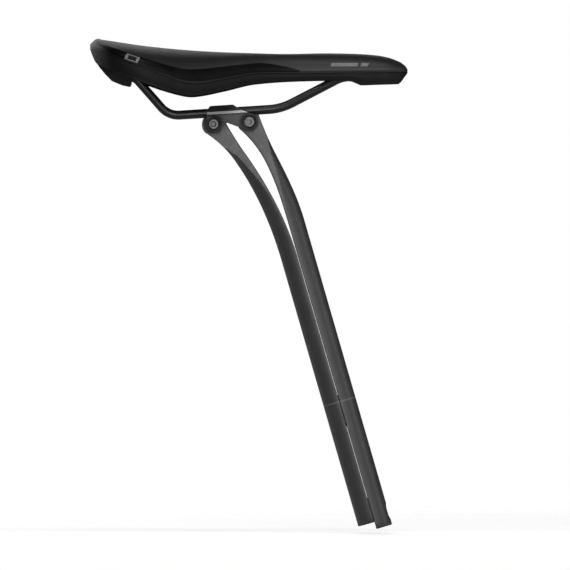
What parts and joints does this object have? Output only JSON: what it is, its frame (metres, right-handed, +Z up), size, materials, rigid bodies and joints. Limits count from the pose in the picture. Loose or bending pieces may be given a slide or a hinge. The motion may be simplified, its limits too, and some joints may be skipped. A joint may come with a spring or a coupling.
{
  "type": "suspension seatpost",
  "caption": "Bicycle seatpost split lengthwise into leaf springs that flex backwards under a floating clamp head, with a short saddle held by its rails.",
  "frame": {"origin": "on the post's axis at the insertion mark, the ring round the post that marks the least insertion", "axes": "+Z up and +X towards the saddle's nose with the post as fitted, its axis leaning back 16.1 degrees from +Z towards -X; +Y to the rider's left"},
  "size_m": [0.2578, 0.147, 0.3993],
  "materials": {
    "carbon": "satin carbon laminate",
    "pad": "glass-filled nylon",
    "steel": "satin stainless",
    "anodised": "dark anodised, bead blasted",
    "sleeve": "hard anodised, polished",
    "bush": "dry-running polymer",
    "rail": "black semi-gloss paint",
    "shell": "grained black nylon",
    "foam": "closed-cell foam",
    "cover": "satin microfibre",
    "panel": "gloss film"
  },
  "bodies": {
    "rear_half": {"rear_leaf_shank": "carbon", "collar_pad": "pad", "foot_pad": "pad", "adjust_screw": "steel", "adjust_washer": "steel", "adjust_nut": "steel"},
    "front_half": {"front_leaf_shank": "carbon"},
    "rear_blade": {"rear_leaf_blade": "carbon", "rear_bush_right": "bush", "rear_bush_left": "bush"},
    "front_blade": {"front_leaf_blade": "carbon", "front_bush_right": "bush", "front_bush_left": "bush"},
    "head": {"head_core": "anodised", "right_side_clamp": "anodised", "left_side_clamp": "anodised", "rear_clamp_bolt": "steel", "front_clamp_bolt": "steel", "rear_bolt_washer": "steel", "front_bolt_washer": "steel", "rear_clamp_nut": "steel", "front_clamp_nut": "steel", "rear_pivot_sleeve": "sleeve", "front_pivot_sleeve": "sleeve"},
    "saddle": {"right_rail": "rail", "left_rail": "rail", "right_rear_socket": "shell", "left_rear_socket": "shell", "nose_socket": "shell", "saddle_shell": "shell", "saddle_foam": "foam", "saddle_cover": "cover", "right_side_panel": "panel", "left_side_panel": "panel"}
  },
  "joints": [
    {"name": "leaf_flex", "type": "hinge", "parent": "rear_half", "child": "rear_blade", "pos_m": [0.01153, 0, 0.00333], "axis": [0, -1, 0], "range_deg": [0, 4.6], "stiffness_Nm_per_rad": 1100},
    {"name": "tilt_adjust", "type": "slide", "parent": "rear_half", "child": "front_half", "axis": [-0.2773, 0, 0.9608], "range_m": [-0.002, 0.002]},
    {"name": "front_leaf_flex", "type": "hinge", "parent": "front_half", "child": "front_blade", "pos_m": [0.01153, 0, 0.00333], "axis": [0, -1, 0], "range_deg": [0, 4.6]},
    {"name": "head_tilt", "type": "hinge", "parent": "rear_blade", "child": "head", "pos_m": [-0.10279, 0, 0.22631], "axis": [0, -1, 0], "range_deg": [-4.02, 4.02]},
    {"name": "saddle_slide", "type": "slide", "parent": "head", "child": "saddle", "axis": [0.998, 0, 0.0628], "range_m": [-0.02, 0.02]}
  ],
  "couplings": [
    {"joint": "front_leaf_flex", "follows": "leaf_flex", "ratio": 1},
    {"joint": "head_tilt", "follows": "tilt_adjust", "rad_per_m": 35}
  ]
}
